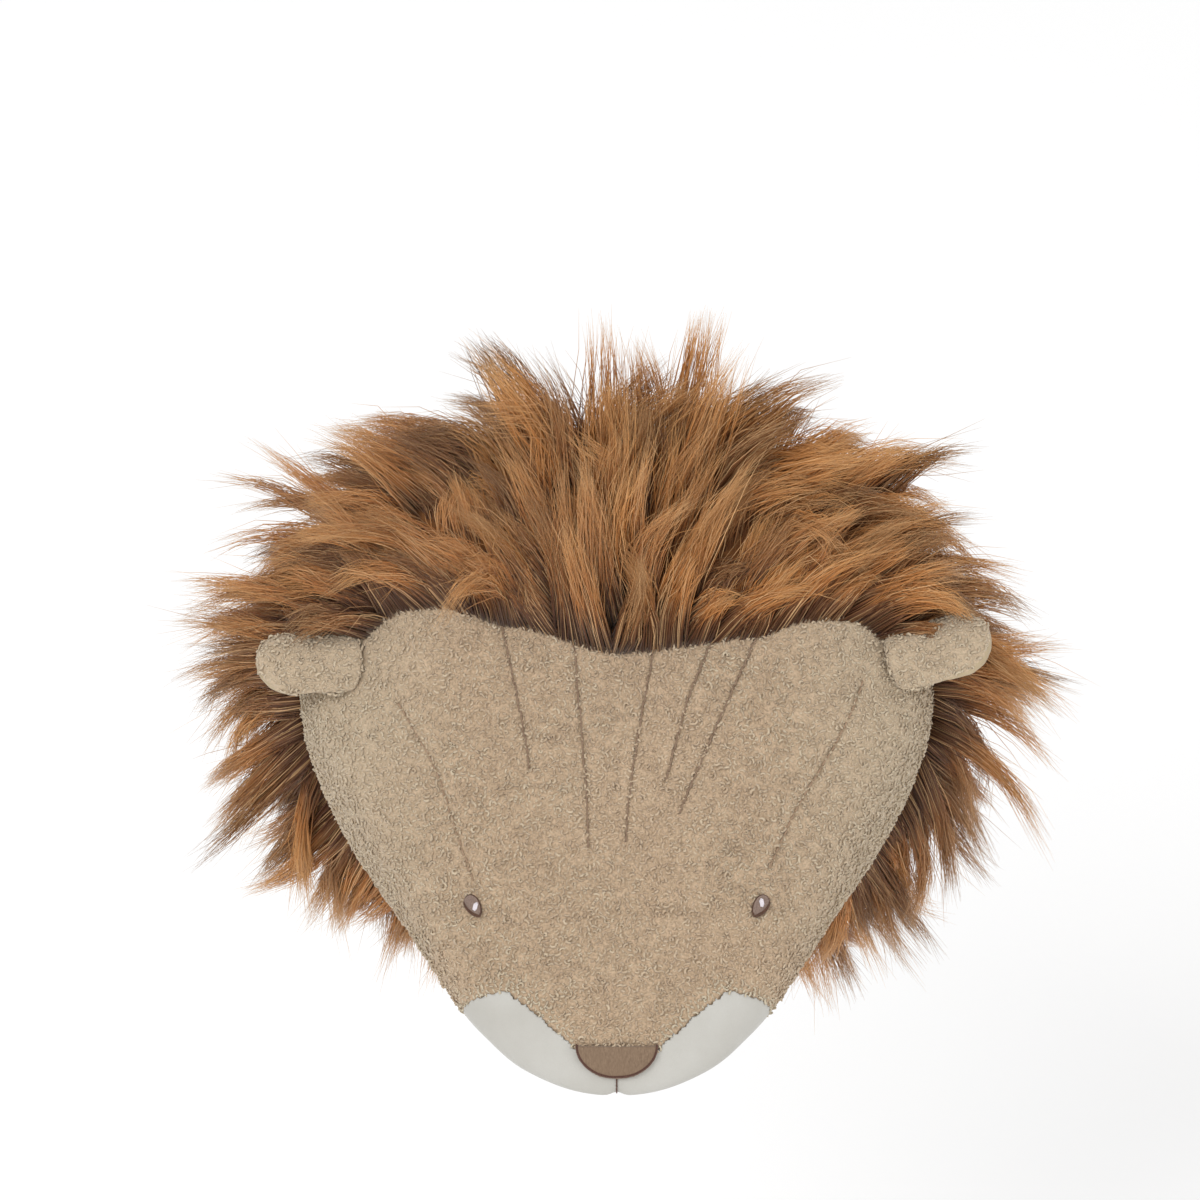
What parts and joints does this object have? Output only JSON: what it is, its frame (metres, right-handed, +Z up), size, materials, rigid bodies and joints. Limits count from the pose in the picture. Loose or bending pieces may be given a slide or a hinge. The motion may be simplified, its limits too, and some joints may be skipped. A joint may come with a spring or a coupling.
{
  "type": "plush lion head wall decoration",
  "caption": "Soft stuffed lion head with a long fur mane, side ears and a smooth muzzle, on a flat round back that hangs against a wall.",
  "frame": {"origin": "centre of the back panel's rear face, which lies against the wall", "axes": "+Y into the wall, so the face looks along -Y; +Z up; +X to the right of someone who looks at the face"},
  "size_m": [0.3863, 0.2351, 0.3709],
  "materials": {
    "face_fabric": "short curly pile, matt",
    "muzzle_fabric": "smooth short nap",
    "mane_fur": "long silky pile",
    "nose_fabric": "smooth nap, stitched edge",
    "eye_thread": "satin stitch",
    "lining_fabric": "smooth short nap",
    "back_felt": "matt felt over a stiff board"
  },
  "bodies": {
    "root": {"face": "face_fabric", "muzzle": "muzzle_fabric", "mane": "mane_fur", "nose": "nose_fabric", "eye_left": "eye_thread", "eye_right": "eye_thread", "ear_left": "face_fabric", "ear_right": "face_fabric", "ear_lining_left": "lining_fabric", "ear_lining_right": "lining_fabric", "back_panel": "back_felt"}
  },
  "joints": []
}
